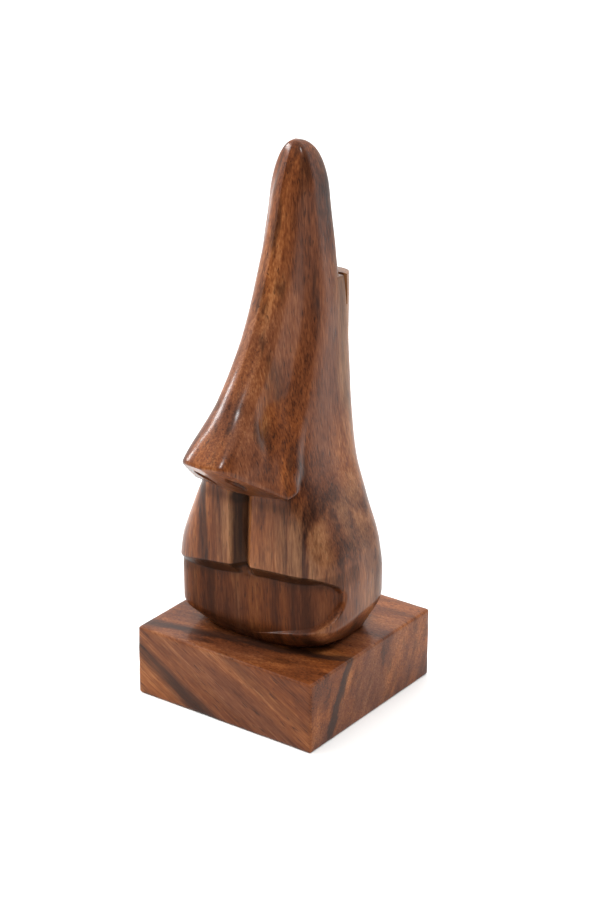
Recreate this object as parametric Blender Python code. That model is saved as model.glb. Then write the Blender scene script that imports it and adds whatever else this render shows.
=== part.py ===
"""A nose-shaped stand for a pair of eyeglasses: a carved hardwood figure on a hardwood block.

The carving is one upright body whose outline is worked out round a vertical axis: a rounded section
for the head, a wedge for the nose, and cuts for the mouth, the groove above it, the foot bevel,
the nostrils and the notch behind the neck. It is held to its block by a screw and a dowel.
Sizes are in millimetres and become metres when a mesh is made. Front is -Y, up is +Z.
"""
import math

import bmesh
import bpy
import numpy as np

MM = 0.001

# the block
BLOCK_X = 57.2
BLOCK_Y = 55.3
BLOCK_Z = 19.9
BLOCK_EDGE = 0.8

# the carving, in its own frame, which is turned on the block
FIT_GAP = 0.3
CARVING_TURN = math.radians(4.5)
FOOT_Z = BLOCK_Z + FIT_GAP
CROWN_Z = 151.6
CROWN_START = 137.0
AXIS_Y = 5.0
COLUMNS = 104
ROWS = 56

# nose, mouth and the notch behind the neck
JUNCTION = (20.6, 63.2)
UNDERSIDE_SLOPE = 0.745
MOUTH_MIDDLE_Z = 35.9
MOUTH_END = 59.5
PANEL_DEPTH = 2.8
GROOVE_X = -0.8
NOSTRIL_X = 5.2
NOSTRIL_REACH = 29.8
LEDGE_Z = 115.0
NECK_BACK_Y = 12.8
SLOT_WIDTH = 2.0
SLOT_DEPTH = 8.0

# screw and dowel
SCREW_Y = -9.0
SCREW_HEAD_Z = 1.0
SCREW_HEAD_RADIUS = 4.0
SCREW_SHANK_RADIUS = 2.0
SCREW_TIP_Z = 36.0
DRIVE_SLOT_WIDTH = 1.1
DRIVE_SLOT_DEPTH = 1.0
DOWEL_Y = 5.5
DOWEL_RADIUS = 4.0
DOWEL_BOTTOM_Z = 11.0
DOWEL_TOP_Z = 29.0
ROUND_SIDES = 32


def smooth_curve(points):
    """A monotone smooth curve through (height, value) points."""
    z = np.array([p[0] for p in points], float)
    v = np.array([p[1] for p in points], float)
    span = np.diff(z)
    slope = np.diff(v) / span
    tangent = np.zeros_like(v)
    tangent[0] = slope[0]
    tangent[-1] = slope[-1]
    for i in range(1, len(z) - 1):
        if slope[i - 1] * slope[i] > 0:
            before = 2 * span[i] + span[i - 1]
            after = span[i] + 2 * span[i - 1]
            tangent[i] = (before + after) / (before / slope[i - 1] + after / slope[i])

    def value(height):
        h = np.clip(height, z[0], z[-1])
        i = np.clip(np.searchsorted(z, h) - 1, 0, len(span) - 1)
        t = (h - z[i]) / span[i]
        return ((1 + 2 * t) * (1 - t) ** 2 * v[i] + t * (1 - t) ** 2 * span[i] * tangent[i]
                + t * t * (3 - 2 * t) * v[i + 1] + t * t * (t - 1) * span[i] * tangent[i + 1])
    return value


half_width = smooth_curve([(20, 24.5), (28, 25.1), (36, 25.1), (44, 24.2), (57, 19.6), (68, 15.4),
                           (84, 12.4), (100, 10.9), (112, 10.2), (121, 9.0), (135, 7.0), (152, 5.2)])
ridge_reach = smooth_curve([(60, 54.0), (79, 40.2), (90, 28.2), (101.5, 18.7), (113, 12.0),
                            (131, 4.8), (152, -0.6)])
mouth_top = smooth_curve([(-60, 38.5), (-41, 40.6), (-28.5, 42.1), (-15, 42.8), (3, 43.5), (23.5, 44.0),
                          (39, 43.8), (60, 43.4)])
body_reach = smooth_curve([(20, 19.8), (30, 20.4), (64, 20.6), (80, 14.0), (96, 6.0), (115, 1.0),
                           (152, -1.5)])


def smooth_min(a, b, k):
    h = np.clip(0.5 + 0.5 * (b - a) / k, 0, 1)
    return b + (a - b) * h - k * h * (1 - h)


def smooth_max(a, b, k):
    return -smooth_min(-a, -b, k)


def ramp(start, end, value):
    t = np.clip((value - start) / (end - start), 0, 1)
    return t * t * (3 - 2 * t)


def back_reach(z):
    return 17.2 + 0.10 * np.clip(z - 98, 0, 18) - 6.3 * ramp(LEDGE_Z, LEDGE_Z + 1.0, z)


def section_gap(x, y, half, front, back, p_front, p_back):
    """Distance-like value outside a rounded section about (0, AXIS_Y)."""
    s = y - AXIS_Y
    power = np.where(s < 0, p_front, p_back)
    reach = np.where(s < 0, front + AXIS_Y, back - AXIS_Y)
    ratio = ((np.abs(x) / half) ** power + (np.abs(s) / reach) ** power) ** (1 / power)
    return (ratio - 1) * half


def solid_gap(x, y, z):
    """Negative inside the carving, before the mouth, groove and foot bevel are cut."""
    t = np.clip((z - CROWN_START) / (CROWN_Z - CROWN_START), 0, 0.9999)
    shrink = (1 - t ** 2.2) ** (1 / 2.2)
    x = np.abs(x / shrink)
    y = AXIS_Y + (y - AXIS_Y) / shrink
    g = -y
    half = half_width(z)
    reach = ridge_reach(z)
    back = back_reach(z)
    body = section_gap(x, y, half, np.minimum(body_reach(z), reach), back,
                       5.0 - 2.0 * ramp(86, 110, z), 2.7 + 3.3 * ramp(60, 106, z))
    under_z = JUNCTION[1] + UNDERSIDE_SLOPE * (g - JUNCTION[0]) + 0.12 * x
    under_z = under_z + 0.9 * np.clip(21.5 - g, 0, 6)
    above = np.clip(z - under_z, 0, None)
    ridge_half = 5.8 - 1.7 * ramp(76, 90, z) + 0.3 * ramp(92, 146, z)
    flare = 0.14 * np.clip(40.5 - g, 0, 22.5) * np.exp(-above / 9.0)
    wedge = ridge_half + 0.22 * np.clip(reach - g, 0, None)
    behind = 20.5 - g - 0.5 * np.clip(z - 64, 0, 40)
    limit = half - 0.7 + 2.5 * np.exp(-above / 9.0) * ramp(5.0, 15.0, g)
    limit = limit - 4.5 * ramp(98, 74, z) * ramp(-1.0, 6.0, behind)
    wedge = smooth_min(wedge + flare, limit, 3.2)
    nose = smooth_max(x - wedge, g - reach, 3.8 + 2.4 * ramp(78, 86, z))
    nose = smooth_max(nose, (under_z - z) * 0.80, 1.2)
    nose = smooth_max(nose, y - back + 3.0, 2.0)
    blend = 0.4 + 2.6 * ramp(0.5, 6.0, z - under_z) * ramp(-8.0, 8.0, g)
    return smooth_min(body, nose, blend) * shrink


def foot_radius(angle, z):
    """The bevel under the chin, as a rounded section that opens upwards."""
    h = z - FOOT_Z
    power = np.where(np.cos(angle) > 0, 3.1 + 0.5 * np.clip(h, 0, 5), 2.4)
    reach = np.where(np.cos(angle) > 0, 15.2 + 0.60 * h + AXIS_Y, 13.0 + 0.5 * h - AXIS_Y)
    reach = reach + 3.0 * np.clip(h - 12, 0, None)
    half = 20.6 + 1.0 * ramp(10.0, -10.0, np.degrees(angle)) + 0.55 * h
    half = half + 3.0 * np.clip(h - 12, 0, None)
    ratio = (np.abs(np.sin(angle)) / half) ** power + (np.abs(np.cos(angle)) / reach) ** power
    return ratio ** (-1 / power)


def mouth_depth(angle, z):
    """How far the mouth panel is cut back: a chamfer on top, rounded ends, open to the bevel."""
    degrees = np.degrees(angle)
    top = (mouth_top(degrees) - z) * 0.80
    right_end = (MOUTH_END - 0.30 * (z - MOUTH_MIDDLE_Z) ** 2 - degrees) * 0.5
    left_end = (degrees + 66.0) * 0.11
    end = np.where(degrees > 0, right_end, left_end)
    cap = PANEL_DEPTH - 0.9 * ramp(22.0, 52.0, degrees) - 2.0 * ramp(-22.0, -46.0, degrees)
    cut_in = smooth_max(smooth_min(top, end, 1.6), 0.0, 0.3)
    return smooth_min(cut_in, cap, 0.4)


def groove_depth(x, z):
    """The V groove from the nose down to the mouth, deeper and wider at the top."""
    half = 2.7 + 0.3 * ramp(43, 63, z)
    depth = (2.3 + 0.9 * ramp(43, 63, z)) * ramp(39, 43, z) * ramp(65.0, 63.0, z)
    return depth * np.clip(1 - np.abs(x - GROOVE_X) / half, 0, 1)


def carving_radius(angle, z, steps=30):
    """Distance from the upright axis to the surface, for angles from the front and heights."""
    angle, z = np.broadcast_arrays(angle, z)
    low = np.zeros(z.shape)
    high = np.full(z.shape, 60.0)
    for _ in range(steps):
        middle = 0.5 * (low + high)
        inside = solid_gap(middle * np.sin(angle), AXIS_Y - middle * np.cos(angle), z) < 0
        low = np.where(inside, middle, low)
        high = np.where(inside, high, middle)
    radius = 0.5 * (low + high)
    x = radius * np.sin(angle)
    front = ramp(-3.0, 6.0, radius * np.cos(angle) - AXIS_Y)
    return smooth_min(radius - front * (mouth_depth(angle, z) + groove_depth(x, z)),
                      foot_radius(angle, z), 0.4)


def column_angles(count):
    """Angles round the axis from the front, closer together across the nose."""
    t = (np.arange(count) + 0.5) / count * 2 * np.pi - np.pi
    return t - 0.6 * np.sin(t)


def carving_grid(columns, rows, samples, turn_weight=0.35):
    """Radius and height for each row and column; rows crowd where the outline turns."""
    angle = column_angles(columns)[None, :]
    fine_z = np.linspace(FOOT_Z, CROWN_Z - 0.02, samples)[:, None] + 0.0 * angle
    fine_r = carving_radius(angle, fine_z)
    dr = np.diff(fine_r, axis=0)
    dz = np.diff(fine_z, axis=0)
    length = np.hypot(dr, dz)
    heading = np.arctan2(dr, dz)
    turn = np.zeros_like(length)
    turn[1:] = np.abs(np.diff(heading, axis=0))
    weight = length / length.sum(0) + turn_weight * np.clip(turn, 0, 1.2) / (turn.sum(0) + 1e-9)
    for _ in range(8):
        weight = 0.25 * np.roll(weight, 1, 1) + 0.5 * weight + 0.25 * np.roll(weight, -1, 1)
    travel = np.vstack([np.zeros((1, columns)), np.cumsum(weight, axis=0)])
    wanted = np.linspace(0, 1, rows)
    z = np.stack([np.interp(wanted * travel[-1, j], travel[:, j], fine_z[:, j])
                  for j in range(columns)], axis=1)
    return angle, z, carving_radius(angle, z)


def material(name, colour, roughness, metallic=0.0):
    made = bpy.data.materials.new(name)
    made.use_nodes = True
    shader = made.node_tree.nodes["Principled BSDF"]
    shader.inputs["Base Color"].default_value = (*colour, 1.0)
    shader.inputs["Roughness"].default_value = roughness
    shader.inputs["Metallic"].default_value = metallic
    return made


def add_object(name, points, faces, surface=None):
    """A closed mesh object from millimetre points, with its faces turned outwards."""
    mesh = bpy.data.meshes.new(name)
    mesh.from_pydata([tuple(float(v) * MM for v in p) for p in points], [], faces)
    work = bmesh.new()
    work.from_mesh(mesh)
    bmesh.ops.recalc_face_normals(work, faces=work.faces)
    work.to_mesh(mesh)
    work.free()
    made = bpy.data.objects.new(name, mesh)
    bpy.context.scene.collection.objects.link(made)
    if surface is not None:
        mesh.materials.append(surface)
    return made


def smooth(made, degrees):
    made.data.shade_smooth()
    made.data.set_sharp_from_angle(angle=math.radians(degrees))


def turned(name, profile, centre, surface=None, sides=ROUND_SIDES):
    """A solid of revolution about an upright axis, from (radius, height) points, bottom to top."""
    points = [(centre[0], centre[1], profile[0][1])]
    for radius, z in profile:
        for i in range(sides):
            a = 2 * math.pi * i / sides
            points.append((centre[0] + radius * math.cos(a), centre[1] + radius * math.sin(a), z))
    points.append((centre[0], centre[1], profile[-1][1]))
    faces = []
    for i in range(sides):
        j = (i + 1) % sides
        faces.append((0, 1 + j, 1 + i))
        for k in range(len(profile) - 1):
            low = 1 + k * sides
            faces.append((low + i, low + j, low + sides + j, low + sides + i))
        last = 1 + (len(profile) - 1) * sides
        faces.append((last + i, last + j, len(points) - 1))
    return add_object(name, points, faces, surface)


def prism(name, outline, x_low, x_high, surface=None):
    """A prism along X from a (y, z) outline."""
    count = len(outline)
    points = [(x_low, y, z) for y, z in outline] + [(x_high, y, z) for y, z in outline]
    faces = [tuple(range(count)), tuple(range(count, 2 * count))]
    for i in range(count):
        j = (i + 1) % count
        faces.append((i, j, count + j, count + i))
    return add_object(name, points, faces, surface)


def leaf(name, centre, half_length, half_width, half_depth, pitch, splay):
    """A rounded leaf shape, a squashed ball, used to hollow a nostril."""
    mesh = bpy.data.meshes.new(name)
    work = bmesh.new()
    bmesh.ops.create_uvsphere(work, u_segments=16, v_segments=10, radius=1.0)
    for vert in work.verts:
        x, y, z = vert.co
        x *= half_width * (1.0 - 0.35 * y)
        y *= half_length
        z *= half_depth
        y, z = y * math.cos(pitch) - z * math.sin(pitch), y * math.sin(pitch) + z * math.cos(pitch)
        x, y = x * math.cos(splay) - y * math.sin(splay), x * math.sin(splay) + y * math.cos(splay)
        vert.co = ((centre[0] + x) * MM, (centre[1] + y) * MM, (centre[2] + z) * MM)
    work.to_mesh(mesh)
    work.free()
    made = bpy.data.objects.new(name, mesh)
    bpy.context.scene.collection.objects.link(made)
    return made


def cut(target, cutter):
    cutter.hide_render = True
    cutter.display_type = "WIRE"
    modifier = target.modifiers.new("cut_" + cutter.name, "BOOLEAN")
    modifier.operation = "DIFFERENCE"
    modifier.solver = "EXACT"
    modifier.object = cutter


def make_carving(surface):
    angle, z, radius = carving_grid(COLUMNS, ROWS, 700)
    x = radius * np.sin(angle)
    y = AXIS_Y - radius * np.cos(angle)
    points = [(0.0, AXIS_Y, FOOT_Z)]
    points += [(x[i, j], y[i, j], z[i, j]) for i in range(ROWS) for j in range(COLUMNS)]
    points.append((0.0, AXIS_Y, CROWN_Z))
    faces = []
    for j in range(COLUMNS):
        k = (j + 1) % COLUMNS
        faces.append((0, 1 + k, 1 + j))
        for i in range(ROWS - 1):
            low = 1 + i * COLUMNS
            faces.append((low + j, low + k, low + COLUMNS + k, low + COLUMNS + j))
        last = 1 + (ROWS - 1) * COLUMNS
        faces.append((last + j, last + k, len(points) - 1))
    carving = add_object("carved_nose", points, faces, surface)
    smooth(carving, 32)
    carving.rotation_euler[2] = CARVING_TURN
    return carving


def in_carving(cutter):
    """Turn a cutter with the carving, so that it can be placed in the carving's own frame."""
    cutter.rotation_euler[2] = CARVING_TURN
    return cutter


def cut_carving(carving):
    notch = [(NECK_BACK_Y, LEDGE_Z), (40.0, LEDGE_Z), (40.0, LEDGE_Z + 3.0), (NECK_BACK_Y, LEDGE_Z + 3.0)]
    cut(carving, in_carving(prism("notch_cutter", notch, -30.0, 30.0)))
    slot_middle = NECK_BACK_Y + 0.5 * SLOT_WIDTH
    slot = [(slot_middle - 0.3, LEDGE_Z - SLOT_DEPTH), (slot_middle + 0.3, LEDGE_Z - SLOT_DEPTH),
            (NECK_BACK_Y + SLOT_WIDTH, LEDGE_Z + 1.0), (NECK_BACK_Y + 0.02, LEDGE_Z + 1.0)]
    cut(carving, in_carving(prism("slot_cutter", slot, -30.0, 30.0)))
    nostril_z = JUNCTION[1] + UNDERSIDE_SLOPE * (NOSTRIL_REACH - JUNCTION[0])
    pitch = -math.atan(UNDERSIDE_SLOPE)
    for side, name in ((-1, "nostril_cutter_left"), (1, "nostril_cutter_right")):
        centre = (side * NOSTRIL_X, -NOSTRIL_REACH, nostril_z)
        cut(carving, in_carving(leaf(name, centre, 5.4, 1.9, 3.2, pitch, side * 0.16)))


def add_screw(block, carving, surface):
    neck_z = SCREW_HEAD_Z + 0.5 + SCREW_HEAD_RADIUS - SCREW_SHANK_RADIUS
    profile = [(SCREW_HEAD_RADIUS, SCREW_HEAD_Z), (SCREW_HEAD_RADIUS, SCREW_HEAD_Z + 0.5),
               (SCREW_SHANK_RADIUS, neck_z), (SCREW_SHANK_RADIUS, SCREW_TIP_Z - 4.0),
               (0.3, SCREW_TIP_Z)]
    screw = turned("base_screw", profile, (0.0, SCREW_Y), surface)
    smooth(screw, 30)
    slot = prism("drive_slot_cutter",
                 [(SCREW_Y - 0.5 * DRIVE_SLOT_WIDTH, SCREW_HEAD_Z - 1.0),
                  (SCREW_Y + 0.5 * DRIVE_SLOT_WIDTH, SCREW_HEAD_Z - 1.0),
                  (SCREW_Y + 0.5 * DRIVE_SLOT_WIDTH, SCREW_HEAD_Z + DRIVE_SLOT_DEPTH),
                  (SCREW_Y - 0.5 * DRIVE_SLOT_WIDTH, SCREW_HEAD_Z + DRIVE_SLOT_DEPTH)], -9.0, 9.0)
    cut(screw, slot)
    hole = [(SCREW_HEAD_RADIUS + FIT_GAP, -1.0), (SCREW_HEAD_RADIUS + FIT_GAP, SCREW_HEAD_Z + 0.6),
            (SCREW_SHANK_RADIUS + FIT_GAP, neck_z + 0.1), (SCREW_SHANK_RADIUS + FIT_GAP, BLOCK_Z + 1.0)]
    cut(block, turned("block_screw_cutter", hole, (0.0, SCREW_Y)))
    pilot = [(SCREW_SHANK_RADIUS + FIT_GAP, BLOCK_Z - 1.0),
             (SCREW_SHANK_RADIUS + FIT_GAP, SCREW_TIP_Z - 3.8), (0.6, SCREW_TIP_Z + 0.4)]
    cut(carving, turned("carving_screw_cutter", pilot, (0.0, SCREW_Y)))
    return screw


def add_dowel(block, carving, surface):
    chamfer = 0.8
    profile = [(DOWEL_RADIUS - chamfer, DOWEL_BOTTOM_Z), (DOWEL_RADIUS, DOWEL_BOTTOM_Z + chamfer),
               (DOWEL_RADIUS, DOWEL_TOP_Z - chamfer), (DOWEL_RADIUS - chamfer, DOWEL_TOP_Z)]
    dowel = turned("locating_dowel", profile, (0.0, DOWEL_Y), surface)
    smooth(dowel, 30)
    wide = DOWEL_RADIUS + FIT_GAP
    low = [(wide, DOWEL_BOTTOM_Z - FIT_GAP), (wide, BLOCK_Z + 1.0)]
    cut(block, turned("block_dowel_cutter", low, (0.0, DOWEL_Y)))
    high = [(wide, BLOCK_Z - 1.0), (wide, DOWEL_TOP_Z + FIT_GAP)]
    cut(carving, turned("carving_dowel_cutter", high, (0.0, DOWEL_Y)))
    return dowel


def make_block(surface):
    half_y = 0.5 * BLOCK_Y
    outline = [(-half_y, 0.0), (half_y, 0.0), (half_y, BLOCK_Z), (-half_y, BLOCK_Z)]
    block = prism("base_block", outline, -0.5 * BLOCK_X, 0.5 * BLOCK_X, surface)
    bevel = block.modifiers.new("worn_edges", "BEVEL")
    bevel.width = BLOCK_EDGE * MM
    bevel.segments = 3
    bevel.limit_method = "ANGLE"
    return block


def build():
    for old in list(bpy.data.objects):
        bpy.data.objects.remove(old, do_unlink=True)
    carved_wood = material("carved_wood", (0.16, 0.055, 0.025), 0.32)
    block_wood = material("block_wood", (0.20, 0.075, 0.033), 0.38)
    steel = material("screw_steel", (0.62, 0.60, 0.55), 0.35, 1.0)
    dowel_wood = material("dowel_wood", (0.62, 0.44, 0.26), 0.6)
    block = make_block(block_wood)
    carving = make_carving(carved_wood)
    cut_carving(carving)
    add_screw(block, carving, steel)
    add_dowel(block, carving, dowel_wood)


build()
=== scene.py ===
"""Looks for the nose-shaped eyeglasses stand: carved and varnished hardwood on a hardwood block."""

import math

import bmesh
import bpy
import numpy as np
from mathutils import Matrix, Vector, noise


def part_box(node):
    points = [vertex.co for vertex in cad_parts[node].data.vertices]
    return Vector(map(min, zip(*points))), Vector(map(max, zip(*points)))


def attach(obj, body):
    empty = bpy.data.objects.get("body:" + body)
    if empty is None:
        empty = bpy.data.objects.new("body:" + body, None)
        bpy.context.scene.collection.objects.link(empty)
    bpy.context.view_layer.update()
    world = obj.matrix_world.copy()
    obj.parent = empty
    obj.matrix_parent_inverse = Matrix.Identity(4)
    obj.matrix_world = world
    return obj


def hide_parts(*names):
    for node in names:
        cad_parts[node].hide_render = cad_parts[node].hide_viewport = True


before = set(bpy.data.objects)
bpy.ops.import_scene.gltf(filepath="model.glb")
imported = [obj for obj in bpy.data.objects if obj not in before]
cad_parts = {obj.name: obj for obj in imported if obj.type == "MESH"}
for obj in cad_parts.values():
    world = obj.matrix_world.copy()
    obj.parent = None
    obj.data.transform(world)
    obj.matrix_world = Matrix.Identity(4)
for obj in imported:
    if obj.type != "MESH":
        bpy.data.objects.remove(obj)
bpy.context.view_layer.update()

MM = 0.001

# ---- the carving, in millimetres in its own frame: front is -Y, up is +Z ----
CARVING_TURN = math.radians(4.5)
BLOCK_LOW, BLOCK_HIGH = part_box("base_block")
CARVING_LOW, CARVING_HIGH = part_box("carved_nose")
FOOT_Z = CARVING_LOW[2] / MM
CROWN_Z = CARVING_HIGH[2] / MM
AXIS_Y = 5.0
CROWN_START = 137.0
CROWN_POWER = 2.2
JUNCTION = (20.6, 63.2)          # where the nose's underside meets the lip: reach forwards, height
UNDERSIDE_SLOPE = 0.745
FLARE_FADE = 9.0                 # height over which the nostril wings run out
FOOT_HALF_WIDTH = 20.6
FOOT_FRONT_REACH = 15.2
FOOT_BACK_REACH = 13.0
BEVEL_TOP = 12.0                 # above this height over the foot the bevel opens clear
MOUTH_MIDDLE_Z = 35.9
MOUTH_END = 59.5                 # degrees round from the front
MOUTH_LEFT_END = 66.0
PANEL_DEPTH = 2.8
GROOVE_X = -0.8
GROOVE_FOOT_Z = 43.0
NOSTRILS = ((-5.3, 29.6, 5.4), (4.5, 30.6, 4.6))    # x, reach forwards, half length
NOSTRIL_HALF_WIDTH = 1.9
NOSTRIL_DEPTH = 2.6
DIMPLE = (21.8, 84.0)            # reach forwards, height
DIMPLE_HALF_WIDTH = 1.9
DIMPLE_HALF_HEIGHT = 5.0
DIMPLE_DEPTH = 1.1
WAVER = 0.26                     # slow unevenness left by the knife
RIPPLE = 0.07                    # quicker unevenness left by sanding
LEDGE_Z = 115.0
NECK_BACK_Y = 12.8
SLOT_WIDTH = 2.0
SLOT_DEPTH = 8.0
SLOT_FLOOR_HALF = 0.3
SLOT_HALF_LENGTH = 30.0
COLUMNS = 500
ROWS = 520
SAMPLES = 1400
RADIUS_LIMIT = 60.0
SHARP_ANGLE = math.radians(50)

# ---- the block, in millimetres ----
EDGE_RADIUS = 0.7
EDGE_CUTS = 40
WORN_WIDTH = 1.2
WEAR_LONG = 0.22
WEAR_SHORT = 0.16
SCREW_Y = -9.0
SCREW_HOLE = ((4.1, -1.0), (4.1, 1.6), (2.1, 3.6), (2.1, 21.0))    # radius, height

# ---- how strongly painted shade darkens the carving's hollows and undersides, 0 to 1 ----
GROOVE_SHADE = 0.88
UNDERSIDE_SHADE = 0.55
CORNER_SHADE = 0.35
CHIN_SHADE = 0.42
LIP_WALL_SHADE = 0.85
LIP_EDGE_SHADE = 0.40
DENT_SHADE = 0.35

# ---- wood colours, darkest to lightest ----
STOPS = (0.0, 0.25, 0.5, 0.75, 1.0)
BROWN_STOPS = ((0.018, 0.0050, 0.0022), (0.058, 0.0165, 0.0066), (0.108, 0.0320, 0.0125),
               (0.165, 0.0540, 0.0220), (0.245, 0.0940, 0.0410))
ORANGE_STOPS = ((0.028, 0.0070, 0.0022), (0.092, 0.0240, 0.0068), (0.165, 0.0450, 0.0120),
                (0.255, 0.0800, 0.0220), (0.370, 0.1420, 0.0460))
PALE_STOPS = ((0.10, 0.040, 0.018), (0.20, 0.090, 0.040), (0.30, 0.145, 0.065),
              (0.38, 0.200, 0.095), (0.46, 0.260, 0.130))
DOWEL_STOPS = ((0.36, 0.22, 0.11), (0.43, 0.28, 0.15), (0.50, 0.34, 0.19), (0.56, 0.40, 0.24),
               (0.62, 0.46, 0.29))
PORE_COLOUR = (0.012, 0.005, 0.003, 1.0)
VEIN_COLOUR = (0.020, 0.0075, 0.0040, 1.0)
STREAK_COLOUR = (0.022, 0.010, 0.007, 1.0)
# painted shade: the dark brown that the recessed mouth panel is darkened towards
PANEL_SHADE_COLOUR = (0.050, 0.012, 0.003, 1.0)
# painted shade: the colour that hollows and undersides are darkened towards
PAINTED_SHADE_COLOUR = (0.014, 0.006, 0.003, 1.0)
STEEL_COLOUR = (0.60, 0.58, 0.53, 1.0)
DULL_STEEL_COLOUR = (0.42, 0.39, 0.34, 1.0)

# ---- studio ----
DARK_SIDE = (0.766, -0.643, 0.0)
WALL_LIGHT = 1.60
DARK_LIGHT = 0.16
CEILING_LIGHT = 0.75
LIGHT_TARGET = (0.0, 0.0, 0.09)
SOFTBOX_DISTANCE = 1.0
SOFTBOXES = (                    # name, direction, size in metres, radiance
    ("left_softbox", (-0.84, -0.17, 0.50), 0.24, 32.0),
    ("upper_softbox", (0.47, -0.31, 0.80), 0.18, 44.0),
)
FLOOR_HALF = 4.0
CAMERA_PLACE = (0.35775, -0.48676, 0.32300)
CAMERA_AZIMUTH, CAMERA_ELEVATION, CAMERA_ROLL = (math.radians(v) for v in (35.94, 22.82, -0.22))
CAMERA_LENS = 100.0
CAMERA_SENSOR = 36.0


def smooth_curve(points):
    """A monotone smooth curve through (height, value) points."""
    z = np.array([p[0] for p in points], float)
    v = np.array([p[1] for p in points], float)
    span = np.diff(z)
    slope = np.diff(v) / span
    tangent = np.zeros_like(v)
    tangent[0] = slope[0]
    tangent[-1] = slope[-1]
    for i in range(1, len(z) - 1):
        if slope[i - 1] * slope[i] > 0:
            before = 2 * span[i] + span[i - 1]
            after = span[i] + 2 * span[i - 1]
            tangent[i] = (before + after) / (before / slope[i - 1] + after / slope[i])

    def value(height):
        h = np.clip(height, z[0], z[-1])
        i = np.clip(np.searchsorted(z, h) - 1, 0, len(span) - 1)
        t = (h - z[i]) / span[i]
        return ((1 + 2 * t) * (1 - t) ** 2 * v[i] + t * (1 - t) ** 2 * span[i] * tangent[i]
                + t * t * (3 - 2 * t) * v[i + 1] + t * t * (t - 1) * span[i] * tangent[i + 1])
    return value


half_width = smooth_curve([(20, 24.5), (28, 25.1), (36, 25.1), (44, 24.2), (57, 19.6), (68, 15.4),
                           (84, 12.4), (100, 10.9), (112, 10.2), (121, 9.0), (135, 7.0), (152, 5.2)])
ridge_reach = smooth_curve([(60, 54.0), (79, 40.2), (90, 28.2), (101.5, 18.7), (113, 12.0),
                            (131, 4.8), (152, -0.6)])
mouth_top = smooth_curve([(-60, 38.5), (-41, 40.6), (-28.5, 42.1), (-15, 42.8), (3, 43.5), (23.5, 44.0),
                          (39, 43.8), (60, 43.4)])
body_reach = smooth_curve([(20, 19.8), (30, 20.4), (64, 20.6), (80, 14.0), (96, 6.0), (115, 1.0),
                           (152, -1.5)])


def smooth_min(a, b, k):
    """The smaller of two values, rounded over a width k where they cross."""
    h = np.clip(0.5 + 0.5 * (b - a) / k, 0, 1)
    return b + (a - b) * h - k * h * (1 - h)


def smooth_max(a, b, k):
    return -smooth_min(-a, -b, k)


def ramp(start, end, value):
    """0 at start, 1 at end, smooth between."""
    t = np.clip((value - start) / (end - start), 0, 1)
    return t * t * (3 - 2 * t)


def back_reach(z):
    """How far the back stands behind the axis: the ledge ends in a step at LEDGE_Z."""
    return 17.2 + 0.10 * np.clip(z - 98, 0, 18) - 6.3 * ramp(LEDGE_Z - 0.1, LEDGE_Z + 0.5, z)


def section_gap(x, y, half, front, back, p_front, p_back):
    """Distance-like value outside a rounded section about (0, AXIS_Y)."""
    s = y - AXIS_Y
    power = np.where(s < 0, p_front, p_back)
    reach = np.where(s < 0, front + AXIS_Y, back - AXIS_Y)
    ratio = ((np.abs(x) / half) ** power + (np.abs(s) / reach) ** power) ** (1 / power)
    return (ratio - 1) * half


def underside_height(x, g):
    """Height of the nose's underside, at x from the middle and g forward of the origin."""
    height = JUNCTION[1] + UNDERSIDE_SLOPE * (g - JUNCTION[0]) + 0.12 * x
    return height + 0.9 * np.clip(21.5 - g, 0, 6)


def wing_width(z, g, half, reach, above):
    """Half width of the nose wedge: narrow at the ridge, flared to the nostril wings below."""
    ridge_half = 5.8 - 1.7 * ramp(76, 90, z) + 0.3 * ramp(92, 146, z)
    flare = 0.14 * np.clip(40.5 - g, 0, 22.5) * np.exp(-above / FLARE_FADE)
    wedge = ridge_half + 0.22 * np.clip(reach - g, 0, None)
    behind = 20.5 - g - 0.5 * np.clip(z - 64, 0, 40)
    limit = half - 0.7 + 2.5 * np.exp(-above / FLARE_FADE) * ramp(5.0, 15.0, g)
    limit = limit - 4.5 * ramp(98, 74, z) * ramp(-1.0, 6.0, behind)
    return smooth_min(wedge + flare, limit, 3.2)


def solid_gap(x, y, z):
    """Negative inside the carving, before the mouth, groove and foot bevel are cut."""
    t = np.clip((z - CROWN_START) / (CROWN_Z - CROWN_START), 0, 0.9999)
    shrink = (1 - t ** CROWN_POWER) ** (1 / CROWN_POWER)
    x = np.abs(x / shrink)
    y = AXIS_Y + (y - AXIS_Y) / shrink
    g = -y
    half = half_width(z)
    reach = ridge_reach(z)
    back = back_reach(z)
    body = section_gap(x, y, half, np.minimum(body_reach(z), reach), back,
                       5.0 - 2.0 * ramp(86, 110, z), 2.7 + 3.3 * ramp(60, 106, z))
    under_z = underside_height(x, g)
    above = np.clip(z - under_z, 0, None)
    nose = smooth_max(x - wing_width(z, g, half, reach, above), g - reach, 3.8 + 2.4 * ramp(78, 86, z))
    nose = smooth_max(nose, (under_z - z) * 0.80, 1.2)
    nose = smooth_max(nose, y - back + 3.0, 2.0)
    blend = 0.4 + 2.6 * ramp(0.5, 6.0, z - under_z) * ramp(-8.0, 8.0, g)
    return smooth_min(body, nose, blend) * shrink


def foot_radius(angle, z):
    """The bevel under the chin, as a rounded section that opens upwards."""
    h = z - FOOT_Z
    in_front = np.cos(angle) > 0
    opened = 3.0 * np.clip(h - BEVEL_TOP, 0, None)
    power = np.where(in_front, 3.1 + 0.5 * np.clip(h, 0, 5), 2.4)
    reach = np.where(in_front, FOOT_FRONT_REACH + 0.60 * h + AXIS_Y, FOOT_BACK_REACH + 0.5 * h - AXIS_Y)
    reach = reach + opened
    half = FOOT_HALF_WIDTH + 0.3 * ramp(10.0, -10.0, np.degrees(angle)) + 0.55 * h
    half = half + opened
    ratio = (np.abs(np.sin(angle)) / half) ** power + (np.abs(np.cos(angle)) / reach) ** power
    return ratio ** (-1 / power)


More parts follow.
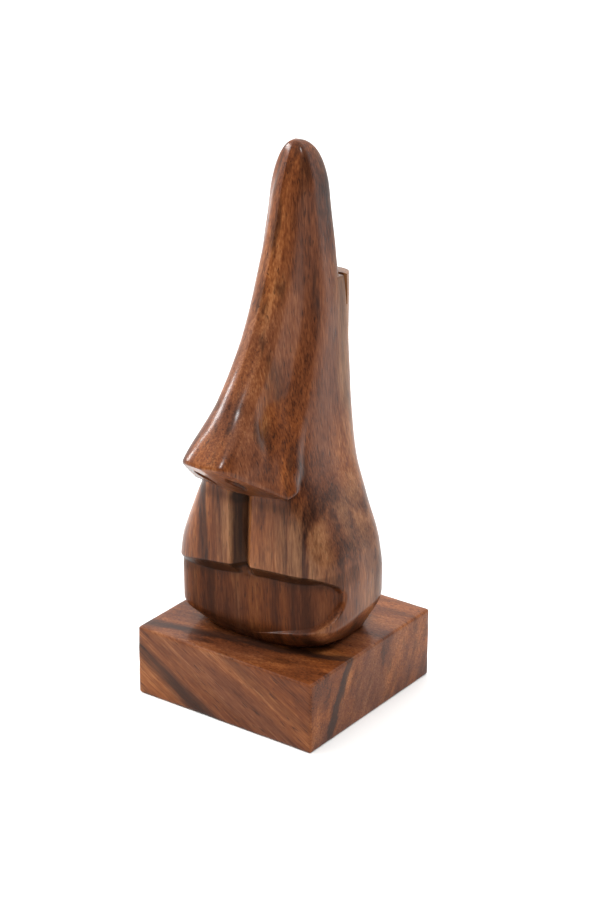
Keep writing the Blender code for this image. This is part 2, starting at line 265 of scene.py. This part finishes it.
def mouth_depth(angle, z):
    """How far the mouth panel is cut back: a chamfer on top, rounded ends, open to the bevel."""
    degrees = np.degrees(angle)
    top = (mouth_top(degrees) - z) * 0.80
    right_end = (MOUTH_END - 0.30 * (z - MOUTH_MIDDLE_Z) ** 2 - degrees) * 0.5
    left_end = (degrees + MOUTH_LEFT_END) * 0.11
    end = np.where(degrees > 0, right_end, left_end)
    cap = PANEL_DEPTH - 0.9 * ramp(22.0, 52.0, degrees) - 2.0 * ramp(-22.0, -46.0, degrees)
    cut_in = smooth_max(smooth_min(top, end, 1.6), 0.0, 0.3)
    return smooth_min(cut_in, cap, 0.4)


def groove_depth(x, z):
    """The V groove from the nose down to the mouth, deeper and wider at the top."""
    higher = ramp(GROOVE_FOOT_Z, 63, z)
    half = 3.1 + 0.5 * higher
    depth = (2.9 + 0.9 * higher) * ramp(39, GROOVE_FOOT_Z, z) * ramp(65.0, 63.0, z)
    return depth * np.clip(1 - np.abs(x - GROOVE_X) / half, 0, 1)


def carving_radius(angle, z, steps=30):
    """Distance from the upright axis to the surface, for angles from the front and heights."""
    angle, z = np.broadcast_arrays(angle, z)
    low = np.zeros(z.shape)
    high = np.full(z.shape, RADIUS_LIMIT)
    for _ in range(steps):
        middle = 0.5 * (low + high)
        inside = solid_gap(middle * np.sin(angle), AXIS_Y - middle * np.cos(angle), z) < 0
        low = np.where(inside, middle, low)
        high = np.where(inside, high, middle)
    radius = 0.5 * (low + high)
    x = radius * np.sin(angle)
    front = ramp(-3.0, 6.0, radius * np.cos(angle) - AXIS_Y)
    return smooth_min(radius - front * (mouth_depth(angle, z) + groove_depth(x, z)),
                      foot_radius(angle, z), 0.9)


def column_angles(count):
    """Angles round the axis from the front, closer together across the nose."""
    t = (np.arange(count) + 0.5) / count * 2 * np.pi - np.pi
    return t - 0.6 * np.sin(t)


def carving_grid(columns, rows, samples, turn_weight=0.35):
    """Radius and height for each row and column; rows crowd where the outline turns."""
    angle = column_angles(columns)[None, :]
    fine_z = np.linspace(FOOT_Z, CROWN_Z - 0.02, samples)[:, None] + 0.0 * angle
    fine_r = carving_radius(angle, fine_z)
    dr = np.diff(fine_r, axis=0)
    dz = np.diff(fine_z, axis=0)
    length = np.hypot(dr, dz)
    heading = np.arctan2(dr, dz)
    turn = np.zeros_like(length)
    turn[1:] = np.abs(np.diff(heading, axis=0))
    weight = length / length.sum(0) + turn_weight * np.clip(turn, 0, 1.2) / (turn.sum(0) + 1e-9)
    for _ in range(12):
        weight = 0.25 * np.roll(weight, 1, 1) + 0.5 * weight + 0.25 * np.roll(weight, -1, 1)
    travel = np.vstack([np.zeros((1, columns)), np.cumsum(weight, axis=0)])
    wanted = np.linspace(0, 1, rows)
    z = np.stack([np.interp(wanted * travel[-1, j], travel[:, j], fine_z[:, j])
                  for j in range(columns)], axis=1)
    return angle, z, carving_radius(angle, z)


# ---- meshes ----

def new_object(name, data):
    made = bpy.data.objects.new(name, data)
    bpy.context.scene.collection.objects.link(made)
    return made


def face_outwards(mesh):
    """Turns every face of a closed mesh outwards."""
    work = bmesh.new()
    work.from_mesh(mesh)
    bmesh.ops.recalc_face_normals(work, faces=work.faces)
    work.to_mesh(mesh)
    work.free()


def prism(name, outline, x_low, x_high, turn=0.0):
    """A prism along X from a (y, z) outline, used as a cutter."""
    count = len(outline)
    points = [(x_low * MM, y * MM, z * MM) for y, z in outline]
    points += [(x_high * MM, y * MM, z * MM) for y, z in outline]
    faces = [tuple(range(count)), tuple(range(count, 2 * count))]
    faces += [(i, (i + 1) % count, count + (i + 1) % count, count + i) for i in range(count)]
    mesh = bpy.data.meshes.new(name)
    mesh.from_pydata(points, [], faces)
    face_outwards(mesh)
    mesh.transform(Matrix.Rotation(turn, 4, "Z"))
    return new_object(name, mesh)


def turned(name, profile, centre_y, segments=64):
    """A solid of revolution about an upright axis from a (radius, z) outline, used as a cutter."""
    points = []
    for radius, z in profile:
        for i in range(segments):
            angle = 2 * math.pi * i / segments
            x = radius * math.cos(angle)
            y = centre_y + radius * math.sin(angle)
            points.append((x * MM, y * MM, z * MM))
    faces = [tuple(range(segments)), tuple(range(len(points) - segments, len(points)))]
    for ring in range(len(profile) - 1):
        low = ring * segments
        for i in range(segments):
            after = (i + 1) % segments
            faces.append((low + i, low + after, low + segments + after, low + segments + i))
    mesh = bpy.data.meshes.new(name)
    mesh.from_pydata(points, [], faces)
    face_outwards(mesh)
    return new_object(name, mesh)


def cut(target, cutter):
    """Applies a Boolean difference at once and removes the cutter."""
    modifier = target.modifiers.new("cut", "BOOLEAN")
    modifier.operation = "DIFFERENCE"
    modifier.solver = "EXACT"
    modifier.object = cutter
    depsgraph = bpy.context.evaluated_depsgraph_get()
    result = bpy.data.meshes.new_from_object(target.evaluated_get(depsgraph))
    target.modifiers.remove(modifier)
    target.data = result
    bpy.data.objects.remove(cutter, do_unlink=True)


def carved_mesh():
    """The carving as rings of quads, closed by a fan at the foot and one at the crown."""
    angle, z, radius = carving_grid(COLUMNS, ROWS, SAMPLES)
    x = radius * np.sin(angle)
    y = AXIS_Y - radius * np.cos(angle)
    grid = np.stack([x, y, z], axis=-1).reshape(-1, 3)
    points = np.vstack([[0.0, AXIS_Y, FOOT_Z], grid, [0.0, AXIS_Y, CROWN_Z]]) * MM
    row, column = np.meshgrid(np.arange(ROWS - 1), np.arange(COLUMNS), indexing="ij")
    low = 1 + row * COLUMNS
    after = (column + 1) % COLUMNS
    quads = np.stack([low + column, low + after, low + COLUMNS + after, low + COLUMNS + column], -1)
    faces = [tuple(q) for q in quads.reshape(-1, 4).tolist()]
    last = 1 + (ROWS - 1) * COLUMNS
    for j in range(COLUMNS):
        k = (j + 1) % COLUMNS
        faces.append((0, 1 + k, 1 + j))
        faces.append((last + j, last + k, len(points) - 1))
    mesh = bpy.data.meshes.new("carved_figure")
    mesh.from_pydata(points.tolist(), [], faces)
    return mesh


def dent_depth(x, y, z, normal_z):
    """Small details cut in along the surface normal: the nostrils and the dimples beside the nose."""
    depth = np.zeros(x.shape)
    underside = ramp(-0.30, -0.55, normal_z) * ramp(61.0, 63.0, z) * ramp(80.0, 78.0, z)
    for centre_x, reach, half_length in NOSTRILS:
        along = (-y - reach) / half_length
        lean = centre_x - 0.05 * np.sign(centre_x) * (-y - reach)
        across = np.abs(x - lean) / (NOSTRIL_HALF_WIDTH * np.clip(1 - along ** 2, 0, 1) + 1e-6)
        hollow = np.clip(1 - across, 0, 1) * np.clip(1 - np.abs(along) ** 3, 0, 1)
        depth += NOSTRIL_DEPTH * underside * hollow
    lean = (z - DIMPLE[1]) * 0.35 + (-y - DIMPLE[0])
    dimple = (lean / DIMPLE_HALF_WIDTH) ** 2 + ((z - DIMPLE[1]) / DIMPLE_HALF_HEIGHT) ** 2
    depth += DIMPLE_DEPTH * np.exp(-dimple) * (np.abs(x) > 5.0) * (z > 70)
    return depth


def degrees_round(x, y):
    """The angle round the upright axis from the front, in degrees."""
    return np.degrees(np.arctan2(x, AXIS_Y - y))


def painted_shade_strength(x, y, z, normal_z, dent):
    """Painted shade in hollows and under overhangs: groove, nostrils, under the nose, the lip and the chin.
    """
    groove = np.clip(1.9 - 1.9 * np.abs(x - GROOVE_X + 0.9) / 3.0, 0, 1)
    groove = groove * ramp(41, GROOVE_FOOT_Z, z) * ramp(66.0, 63.0, z) * (y < -10)
    underside = ramp(-0.30, -0.55, normal_z) * ramp(61.0, 63.0, z) * ramp(76.0, 66.0, z)
    corner = ramp(2.5, 0.0, np.abs(z - 62.0)) * (y < -12) * ramp(17.0, 14.0, np.abs(x))
    under_chin = ramp(FOOT_Z + 6.5, FOOT_Z + 4.5, z)
    below_lip = mouth_top(degrees_round(x, y)) - z
    lip = ramp(-0.3, 0.2, below_lip) * ramp(5.5, 3.0, below_lip) * (y < -3)
    lip = lip * np.where(normal_z < -0.2, LIP_WALL_SHADE, LIP_EDGE_SHADE) * ramp(28.0, 26.0, np.abs(x))
    total = groove * GROOVE_SHADE + underside * UNDERSIDE_SHADE + corner * CORNER_SHADE
    return np.clip(total + under_chin * CHIN_SHADE + lip + dent * DENT_SHADE, 0, 1)


def matt_and_shade_strength(x, y, z):
    """Where the varnish is thin and shade is painted: the mouth panel, recessed under the lip, which
    polishing does not reach.
    """
    cut_back = mouth_depth(np.arctan2(x, AXIS_Y - y), z)
    return (y < AXIS_Y) * ramp(0.3, 1.2, cut_back) * ramp(21.0, 24.0, z)


def faded_strength(y, z, matt_and_shade):
    """Where the wood is lighter: the body below the nose, outside the mouth panel."""
    return ramp(66.0, 56.0, z) * ramp(25.0, 33.0, z) * ramp(14.0, 4.0, y) * (1 - matt_and_shade)


def knife_waver(point):
    """Low, slow unevenness left by knife and sandpaper, in millimetres."""
    slow = noise.noise(Vector((point.x * 70, point.y * 70, point.z * 38)))
    quick = noise.noise(Vector((point.x * 210, point.y * 210, point.z * 120)))
    return WAVER * slow + RIPPLE * quick


def store(mesh, name, values):
    attribute = mesh.attributes.new(name, "FLOAT", "POINT")
    attribute.data.foreach_set("value", values.astype(np.float32))


def add_details(mesh):
    """Records the painted shade in hollows and undersides, the matt panel with its painted shade and the
    faded places, and cuts the small details into the mesh.
    """
    flat = np.empty(len(mesh.vertices) * 3)
    mesh.vertices.foreach_get("co", flat)
    points = flat.reshape(-1, 3).copy()
    mesh.vertex_normals.foreach_get("vector", flat)
    normals = flat.reshape(-1, 3)
    x, y, z = (points / MM).T
    inward = dent_depth(x, y, z, normals[:, 2])
    matt_and_shade = matt_and_shade_strength(x, y, z)
    store(mesh, "painted_shade", painted_shade_strength(x, y, z, normals[:, 2], inward))
    store(mesh, "matt_and_shade", matt_and_shade)
    store(mesh, "faded", faded_strength(y, z, matt_and_shade))
    waver = np.array([knife_waver(Vector(p)) for p in points])
    inward += waver * ramp(FOOT_Z, FOOT_Z + 3.0, z) * ramp(CROWN_Z, CROWN_Z - 4.0, z)
    points -= normals * inward[:, None] * MM
    mesh.vertices.foreach_set("co", points.ravel())
    mesh.update()


def make_carving():
    mesh = carved_mesh()
    add_details(mesh)
    mesh.transform(Matrix.Rotation(CARVING_TURN, 4, "Z"))
    carving = new_object("carved_figure", mesh)
    middle = NECK_BACK_Y + 0.5 * SLOT_WIDTH
    slot_floor_z = LEDGE_Z - SLOT_DEPTH
    slot = [(middle - SLOT_FLOOR_HALF, slot_floor_z), (middle + SLOT_FLOOR_HALF, slot_floor_z),
            (NECK_BACK_Y + SLOT_WIDTH, LEDGE_Z + 1.0), (NECK_BACK_Y + 0.02, LEDGE_Z + 1.0)]
    cut(carving, prism("slot_cutter", slot, -SLOT_HALF_LENGTH, SLOT_HALF_LENGTH, CARVING_TURN))
    carving.data.shade_smooth()
    carving.data.set_sharp_from_angle(angle=SHARP_ANGLE)
    return carving


def make_block():
    """The block: edges rounded by hand, so a little uneven."""
    size = Vector(BLOCK_HIGH) - Vector(BLOCK_LOW)
    middle = 0.5 * (Vector(BLOCK_HIGH) + Vector(BLOCK_LOW))
    mesh = bpy.data.meshes.new("plinth_block")
    work = bmesh.new()
    bmesh.ops.create_cube(work, size=1.0)
    bmesh.ops.scale(work, vec=size, verts=work.verts)
    bmesh.ops.translate(work, vec=middle, verts=work.verts)
    bmesh.ops.bevel(work, geom=work.edges[:], offset=EDGE_RADIUS * MM, segments=4, profile=0.5,
                    affect="EDGES")
    long_edges = [e for e in work.edges if e.calc_length() > 5 * MM]
    bmesh.ops.subdivide_edges(work, edges=long_edges, cuts=EDGE_CUTS, use_grid_fill=True)
    for vert in work.verts:
        wander = noise.noise(vert.co * 60.0) * WEAR_LONG + noise.noise(vert.co * 260.0) * WEAR_SHORT
        near = sorted(0.5 * size[i] - abs(vert.co[i] - middle[i]) for i in range(3))
        worn = max(0.0, 1.0 - near[1] / (WORN_WIDTH * MM))
        vert.co += (middle - vert.co).normalized() * max(0.0, wander) * worn * MM
        vert.co.z = max(vert.co.z, BLOCK_LOW[2])
    work.to_mesh(mesh)
    work.free()
    face_outwards(mesh)
    block = new_object("plinth_block", mesh)
    cut(block, turned("screw_hole_cutter", SCREW_HOLE, SCREW_Y))
    block.data.shade_smooth()
    block.data.set_sharp_from_angle(angle=SHARP_ANGLE)
    return block


# ---- materials ----

class Nodes:
    """A short way to add and join the nodes of one shader tree."""

    def __init__(self, tree):
        self.tree = tree

    def set(self, socket, value):
        if isinstance(value, bpy.types.NodeSocket):
            self.tree.links.new(value, socket)
        else:
            socket.default_value = value

    def add(self, kind, inputs=None, **settings):
        node = self.tree.nodes.new(kind)
        for key, value in settings.items():
            setattr(node, key, value)
        for key, value in (inputs or {}).items():
            self.set(node.inputs[key], value)
        return node

    def math(self, operation, a, b=0.0):
        return self.add("ShaderNodeMath", {0: a, 1: b}, operation=operation).outputs[0]

    def vector(self, operation, a, b):
        return self.add("ShaderNodeVectorMath", {0: a, 1: b}, operation=operation).outputs[0]

    def total(self, *parts):
        """The sum of values times their weights."""
        result = None
        for value, weight in parts:
            share = self.math("MULTIPLY", value, weight)
            result = share if result is None else self.math("ADD", result, share)
        return result

    def stray(self, value, spread):
        """A noise value moved to lie about zero, times spread."""
        return self.math("MULTIPLY", self.math("SUBTRACT", value, 0.5), spread)

    def remap(self, value, low, high, to_low=0.0, to_high=1.0):
        return self.add("ShaderNodeMapRange", {"Value": value, "From Min": low, "From Max": high,
                                               "To Min": to_low, "To Max": to_high}).outputs[0]

    def smooth_remap(self, value, low, high, to_low, to_high):
        return self.add("ShaderNodeMapRange", {"Value": value, "From Min": low, "From Max": high,
                                               "To Min": to_low, "To Max": to_high},
                        interpolation_type="SMOOTHSTEP").outputs[0]

    def noise(self, coords, scale, detail=3.0, roughness=0.55):
        return self.add("ShaderNodeTexNoise", {"Vector": coords, "Scale": scale, "Detail": detail,
                                               "Roughness": roughness}).outputs[0]

    def stretch(self, coords, factors, rotation=(0.0, 0.0, 0.0), shift=(0.0, 0.0, 0.0)):
        return self.add("ShaderNodeMapping", {"Vector": coords, "Scale": factors, "Rotation": rotation,
                                              "Location": shift}).outputs[0]

    def component(self, coords, index):
        return self.add("ShaderNodeSeparateXYZ", {0: coords}).outputs[index]

    def attribute(self, name):
        return self.add("ShaderNodeAttribute", attribute_name=name).outputs["Fac"]

    def mix(self, factor, a, b):
        node = self.add("ShaderNodeMix", data_type="RGBA", blend_type="MIX")
        for index, value in ((0, factor), (6, a), (7, b)):
            self.set(node.inputs[index], value)
        return node.outputs[2]

    def ramp(self, value, colours):
        """A colour ramp with its colours evenly spaced."""
        node = self.add("ShaderNodeValToRGB", {"Fac": value})
        while len(node.color_ramp.elements) < len(colours):
            node.color_ramp.elements.new(0.5)
        for element, position, colour in zip(node.color_ramp.elements, STOPS, colours):
            element.position = position
            element.color = (*colour, 1.0)
        return node.outputs[0]

    def shade(self, **inputs):
        """Sets the inputs of the material's Principled shader."""
        shader = self.tree.nodes["Principled BSDF"]
        for key, value in inputs.items():
            self.set(shader.inputs[key.replace("_", " ")], value)


def new_material(name):
    material = bpy.data.materials.new(name)
    material.use_nodes = True
    return material, Nodes(material.node_tree)


def grain_space(n, place, layer, fibre, seed):
    """Coordinates laid along the grain: straight ones, slow ones for patches, and bent ones."""
    across = Vector(layer).normalized()
    along = (Vector(fibre) - across * across.dot(Vector(fibre))).normalized()
    to_grain = Matrix((across, along.cross(across), along)).to_euler()
    grain = n.stretch(place, (1.0, 1.0, 1.0), to_grain, (seed, seed * 0.7, seed * 0.3))
    slow = n.stretch(grain, (1.0, 1.0, 0.35))
    wander = n.add("ShaderNodeTexNoise", {"Vector": slow, "Scale": 40.0, "Detail": 2.0}).outputs["Color"]
    shift = n.vector("SUBTRACT", wander, (0.5, 0.5, 0.5))
    shift = n.vector("MULTIPLY", shift, (0.005, 0.005, 0.0))
    return grain, slow, n.vector("ADD", grain, shift)


def wood_pattern(n, grain, slow, bent, band_width):
    """The noises that make up the wood, from wide bands down to single fibres and pores."""
    def layered(coords, factors, scale, detail, roughness, shift=(0.0, 0.0, 0.0)):
        return n.noise(n.stretch(coords, factors, shift=shift), scale, detail, roughness)

    return {
        "bands": layered(bent, (1.0, 0.22, 0.035), 1.0 / band_width, 2.0, 0.5),
        "streaks": layered(bent, (1.0, 0.35, 0.035), 2.8 / band_width, 3.0, 0.6),
        "veins": layered(bent, (1.0, 0.45, 0.022), 1.7 / band_width, 3.0, 0.5, (7.3, 2.2, 0.9)),
        "fibres": layered(grain, (1.0, 0.9, 0.16), 1700.0, 2.0, 0.6),
        "hairs": layered(grain, (1.0, 1.0, 0.05), 2700.0, 2.0, 0.6),
        "pores": layered(grain, (1.0, 1.0, 0.14), 1900.0, 1.0, 0.5, (5.2, 0.3, 1.1)),
        "blotch": n.noise(slow, 60.0, 2.0, 0.5),
        "drift": layered(bent, (1.0, 0.7, 0.25), 75.0, 2.0, 0.5, (3.1, 1.7, 0.4)),
    }


def add_streak(n, colour, bent, pattern, seed, streak):
    """One dark layer, given by its place across the layers, half width and strength."""
    centre, half, strength = streak
    apart = n.math("ABSOLUTE", n.math("SUBTRACT", n.component(bent, 0), centre + seed))
    apart = n.math("ADD", apart, n.stray(pattern["streaks"], 0.006))
    return n.mix(n.math("MULTIPLY", n.remap(apart, half, half * 0.3), strength), colour, STREAK_COLOUR)


def add_pale_back(n, colour, place, tone, pattern, pale):
    """Lighter wood towards the back, given by where it starts and ends and its strength."""
    start, end, strength = pale
    depth = n.math("ADD", n.component(place, 1), n.stray(pattern["blotch"], 0.020))
    depth = n.math("ADD", depth, n.stray(pattern["streaks"], 0.016))
    share = n.math("MULTIPLY", n.remap(depth, start, end), strength)
    return n.mix(share, colour, n.ramp(tone, PALE_STOPS))


def add_work_marks(n, colour, tone, pattern):
    """Faded places, the matt mouth panel with its painted shade, and painted shade in hollows and under
    overhangs, as the carving's mesh records them.

    Also gives back how far the varnish is missing.
    """
    painted_shade, matt_and_shade, faded = (n.attribute(name) for name in ("painted_shade", "matt_and_shade", "faded"))
    patchy = n.math("MULTIPLY", faded, n.remap(pattern["blotch"], 0.38, 0.62, 0.05, 0.50))
    patchy = n.math("MULTIPLY", patchy, n.remap(pattern["veins"], 0.62, 0.50))
    colour = n.mix(patchy, colour, n.ramp(tone, PALE_STOPS))
    # painted shade on the recessed mouth panel; the same mask also thins the varnish there
    colour = n.mix(n.math("MULTIPLY", matt_and_shade, 0.50), colour, PANEL_SHADE_COLOUR)
    # painted shade in the groove, nostrils, dimples, under the nose, under the lip's wall and round the chin
    colour = n.mix(n.math("MULTIPLY", painted_shade, 0.92), colour, PAINTED_SHADE_COLOUR)
    return colour, n.math("MAXIMUM", matt_and_shade, painted_shade)


def wood(name, layer, fibre, band_width, palette, roughness, coat, seed, tone_range=(0.49, 0.82),
         vein_strength=0.0, streak=None, pale=None, worked=False):
    """Rosewood: growth layers across one direction, fibres and pores along another.

    layer is the direction across the growth layers and fibre the direction the fibres run in,
    both in the object's own frame. palette holds a browner and a more orange row of colours,
    and the wood drifts between them. tone_range is the part of the pattern that the colours
    cover. vein_strength darkens thin long veins. streak and pale are as add_streak and
    add_pale_back take them. worked reads the values that the carving's mesh carries.
    """
    material, n = new_material(name)
    place = n.add("ShaderNodeTexCoord").outputs["Object"]
    grain, slow, bent = grain_space(n, place, layer, fibre, seed)
    pattern = wood_pattern(n, grain, slow, bent, band_width)
    tone = n.total((pattern["bands"], 0.46), (pattern["streaks"], 0.24), (pattern["blotch"], 0.22),
                   (pattern["fibres"], 0.22), (pattern["hairs"], 0.30))
    tone = n.remap(tone, *tone_range)
    brown, orange = (n.ramp(tone, colours) for colours in palette)
    colour = n.mix(n.remap(pattern["drift"], 0.38, 0.60), brown, orange)
    vein = n.math("MULTIPLY", n.remap(pattern["veins"], 0.54, 0.66), vein_strength)
    colour = n.mix(vein, colour, VEIN_COLOUR)
    pore = n.remap(pattern["pores"], 0.64, 0.72)
    colour = n.mix(n.math("MULTIPLY", pore, 0.60), colour, PORE_COLOUR)
    if streak:
        colour = add_streak(n, colour, bent, pattern, seed, streak)
    if pale:
        colour = add_pale_back(n, colour, place, tone, pattern, pale)
    varnish = coat
    if worked:
        colour, bare = add_work_marks(n, colour, tone, pattern)
        varnish = n.remap(bare, 0.0, 1.0, coat, coat * 0.20)
    height = n.total((pattern["fibres"], 0.35), (pore, -0.8), (pattern["streaks"], 0.25))
    bump = n.add("ShaderNodeBump", {"Height": height, "Strength": 0.35, "Distance": 0.00012}).outputs[0]
    rough = n.remap(n.total((pattern["streaks"], 0.5), (pattern["blotch"], 0.5)), 0.3, 0.7, *roughness)
    n.shade(Base_Color=colour, Roughness=rough, Normal=bump, Specular_IOR_Level=0.06,
            Coat_Weight=varnish, Coat_Roughness=0.16, Coat_IOR=1.37)
    return material


def carved_wood():
    return wood("carved_wood", (1.0, 0.06, 0.03), (-0.02, 0.03, 1.0), 0.0042,
                (BROWN_STOPS, ORANGE_STOPS), (0.30, 0.42), 0.38, 0.31, tone_range=(0.56, 0.89),
                vein_strength=0.62, pale=(0.007, 0.018, 0.60), worked=True)


def block_wood():
    return wood("block_wood", (0.221, -0.891, 0.396), (1.0, 0.0, -0.557), 0.0056,
                (BROWN_STOPS, ORANGE_STOPS), (0.36, 0.50), 0.34, 1.35, tone_range=(0.49, 0.88),
                vein_strength=0.40, streak=(0.0235, 0.0024, 0.80))


def pale_wood():
    return wood("pale_dowel_wood", (1.0, 0.3, 0.0), (0.0, 0.0, 1.0), 0.0020,
                (DOWEL_STOPS, DOWEL_STOPS), (0.55, 0.70), 0.0, 0.12)


def steel():
    material, n = new_material("screw_steel")
    place = n.add("ShaderNodeTexCoord").outputs["Object"]
    scratches = n.noise(n.stretch(place, (1.0, 0.05, 1.0)), 4000.0, 2.0)
    spots = n.noise(place, 900.0, 3.0)
    colour = n.mix(n.remap(spots, 0.45, 0.7), STEEL_COLOUR, DULL_STEEL_COLOUR)
    n.shade(Base_Color=colour, Metallic=1.0, Roughness=n.remap(scratches, 0.3, 0.7, 0.28, 0.48))
    return material


def floor_material():
    material, n = new_material("pale_floor")
    n.shade(Base_Color=(0.93, 0.93, 0.92, 1.0), Roughness=0.9, Specular_IOR_Level=0.1)
    return material


# ---- stage: floor, light, camera ----

def make_floor():
    mesh = bpy.data.meshes.new("studio_floor")
    half = FLOOR_HALF
    corners = [(-half, -half, 0), (half, -half, 0), (half, half, 0), (-half, half, 0)]
    mesh.from_pydata(corners, [], [(0, 1, 2, 3)])
    floor = new_object("studio_floor", mesh)
    mesh.materials.append(floor_material())


def softbox(name, towards, size, radiance):
    """A round soft light at a fixed distance, aimed at the stand."""
    data = bpy.data.lights.new(name, "AREA")
    data.shape = "ELLIPSE"
    data.size = size
    data.size_y = size
    data.energy = radiance * math.pi * size * size
    lamp = new_object(name, data)
    lamp.location = Vector(LIGHT_TARGET) + Vector(towards).normalized() * SOFTBOX_DISTANCE
    lamp.rotation_euler = (Vector(LIGHT_TARGET) - lamp.location).to_track_quat("-Z", "Y").to_euler()


def make_world():
    """White studio walls all round, darker on one side; plain white behind the object."""
    world = bpy.data.worlds.new("studio")
    bpy.context.scene.world = world
    world.use_nodes = True
    n = Nodes(world.node_tree)
    away = n.add("ShaderNodeTexCoord").outputs["Generated"]
    towards = n.add("ShaderNodeVectorMath", {0: away, 1: DARK_SIDE}, operation="DOT_PRODUCT").outputs["Value"]
    walls = n.smooth_remap(towards, -0.35, 0.5, WALL_LIGHT, DARK_LIGHT)
    ceiling = n.smooth_remap(n.component(away, 2), 0.45, 0.9, 0.0, CEILING_LIGHT)
    studio = world.node_tree.nodes["Background"]
    n.set(studio.inputs["Color"], (1.0, 1.0, 1.0, 1.0))
    n.set(studio.inputs["Strength"], n.math("ADD", walls, ceiling))
    white = n.add("ShaderNodeBackground", {"Color": (1.0, 1.0, 1.0, 1.0), "Strength": 1.0})
    seen = n.add("ShaderNodeLightPath").outputs["Is Camera Ray"]
    mix = n.add("ShaderNodeMixShader", {0: seen, 1: studio.outputs[0], 2: white.outputs[0]})
    n.set(world.node_tree.nodes["World Output"].inputs["Surface"], mix.outputs[0])


def make_camera():
    data = bpy.data.cameras.new("camera")
    data.lens = CAMERA_LENS
    data.sensor_width = CAMERA_SENSOR
    camera = new_object("camera", data)
    back = Vector((math.sin(CAMERA_AZIMUTH) * math.cos(CAMERA_ELEVATION),
                   -math.cos(CAMERA_AZIMUTH) * math.cos(CAMERA_ELEVATION), math.sin(CAMERA_ELEVATION)))
    right = Vector((math.cos(CAMERA_AZIMUTH), math.sin(CAMERA_AZIMUTH), 0.0))
    up = back.cross(right)
    turn = Matrix((right, up, back)).transposed() @ Matrix.Rotation(-CAMERA_ROLL, 3, "Z")
    camera.matrix_world = Matrix.Translation(CAMERA_PLACE) @ turn.to_4x4()
    bpy.context.scene.camera = camera


# ---- put together ----

def dress(node, surface):
    """Puts a new material on a CAD node that stays."""
    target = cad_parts[node]
    target.data.materials.clear()
    target.data.materials.append(surface)


def build():
    carving = make_carving()
    carving.data.materials.append(carved_wood())
    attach(carving, "root")
    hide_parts("carved_nose")
    block = make_block()
    block.data.materials.append(block_wood())
    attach(block, "root")
    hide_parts("base_block")
    dress("base_screw", steel())
    dress("locating_dowel", pale_wood())
    make_floor()
    make_world()
    for settings in SOFTBOXES:
        softbox(*settings)
    make_camera()
    bpy.context.scene.view_settings.view_transform = "Standard"


build()
